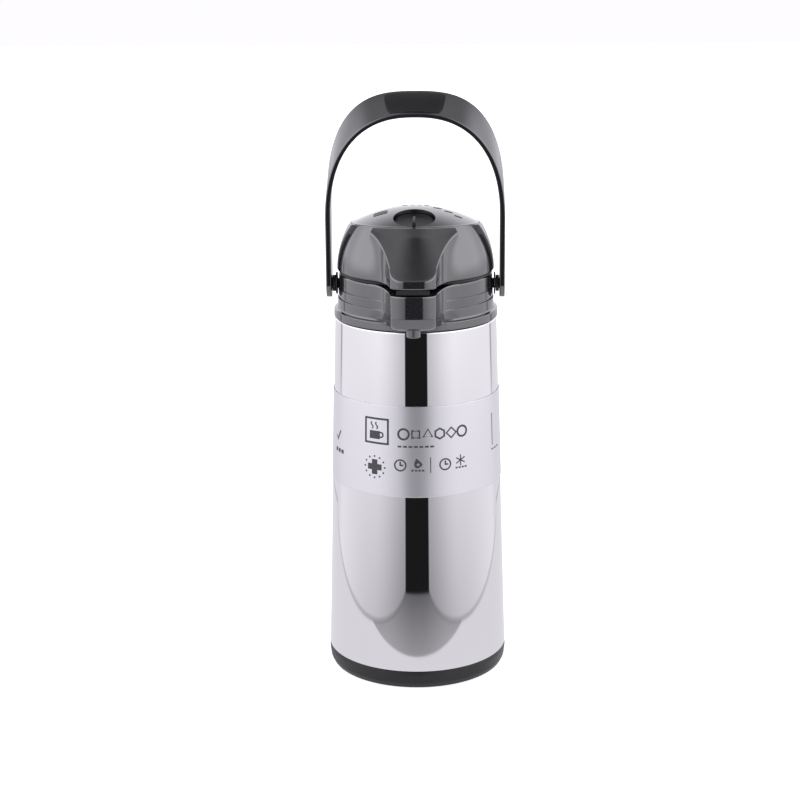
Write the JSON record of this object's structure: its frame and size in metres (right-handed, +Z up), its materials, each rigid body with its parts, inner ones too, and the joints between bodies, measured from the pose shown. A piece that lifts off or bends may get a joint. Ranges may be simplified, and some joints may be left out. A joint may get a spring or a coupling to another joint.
{
  "type": "pump pot",
  "caption": "Steel vacuum pump pot with a glass flask, hinged pump lid, lock dial, latch, pouring nose and swinging bail handle.",
  "frame": {"origin": "centre of the base, on the surface it stands on", "axes": "+Z up, the pouring nose towards -Y, the handle pivots along X"},
  "size_m": [0.1444, 0.1598, 0.4639],
  "materials": {
    "gloss_black": "glossy black ABS",
    "satin_black": "satin black polypropylene",
    "grey_plastic": "grey moulded plastic",
    "white_plastic": "natural white polypropylene",
    "polished_steel": "polished stainless steel sheet",
    "wire_steel": "plain steel wire and pins",
    "label_paper": "satin coated label",
    "flask_glass": "silvered glass",
    "rubber": "black rubber",
    "silicone": "translucent silicone"
  },
  "bodies": {
    "pot": {"base_cup": "satin_black", "base_plug": "satin_black", "flask_cushion": "rubber", "steel_casing": "polished_steel", "label_band": "label_paper", "glass_flask": "flask_glass", "flask_seal_tip": "flask_glass", "neck_gasket": "silicone", "collar": "gloss_black", "hinge_pin": "wire_steel", "handle_pin_left": "satin_black", "handle_pin_right": "satin_black", "handle_bush_left": "satin_black", "handle_bush_right": "satin_black", "stopper": "white_plastic", "stopper_ring": "silicone", "dip_tube": "white_plastic", "pour_pipe": "grey_plastic", "spout_nozzle": "grey_plastic"},
    "ball": {"valve_ball": "wire_steel"},
    "lid": {"lid_shell": "gloss_black", "lid_base": "satin_black", "lid_screw_1": "wire_steel", "lid_screw_2": "wire_steel", "lid_screw_3": "wire_steel", "lid_screw_4": "wire_steel", "pump_gasket": "silicone", "lid_seal": "rubber", "air_valve": "silicone", "bellows": "rubber", "bellows_spring": "wire_steel", "latch_pin": "wire_steel", "latch_spring": "wire_steel"},
    "button": {"push_button": "gloss_black", "bellows_plate": "satin_black"},
    "lock": {"lock_dial": "satin_black", "lock_cam": "satin_black"},
    "latch": {"lid_latch": "satin_black"},
    "handle": {"handle": "gloss_black", "handle_grip": "satin_black"}
  },
  "joints": [
    {"name": "handle_swing", "type": "hinge", "parent": "pot", "child": "handle", "pos_m": [0, 0, 0.315], "axis": [1, 0, 0], "range_deg": [-100, 100]},
    {"name": "lid_hinge", "type": "hinge", "parent": "pot", "child": "lid", "pos_m": [0, 0.0645, 0.325], "axis": [-1, 0, 0], "range_deg": [0, 38]},
    {"name": "button_press", "type": "slide", "parent": "lid", "child": "button", "axis": [0, 0, -1], "range_m": [0, 0.014], "stiffness_N_per_m": 500, "springref_m": -0.012, "deforming": ["bellows", "bellows_spring"]},
    {"name": "lock_turn", "type": "hinge", "parent": "button", "child": "lock", "pos_m": [0, -0.033, 0.37344], "axis": [0, -0.2588, 0.9659], "range_deg": [-40, 40]},
    {"name": "latch_press", "type": "hinge", "parent": "lid", "child": "latch", "pos_m": [0, -0.0805, 0.3315], "axis": [1, 0, 0], "range_deg": [0, 7], "stiffness_Nm_per_rad": 0.4, "springref_deg": -14.32, "deforming": ["latch_spring"]},
    {"name": "valve_ball_lift", "type": "slide", "parent": "pot", "child": "ball", "axis": [0, 0, 1], "range_m": [0, 0.005]}
  ]
}
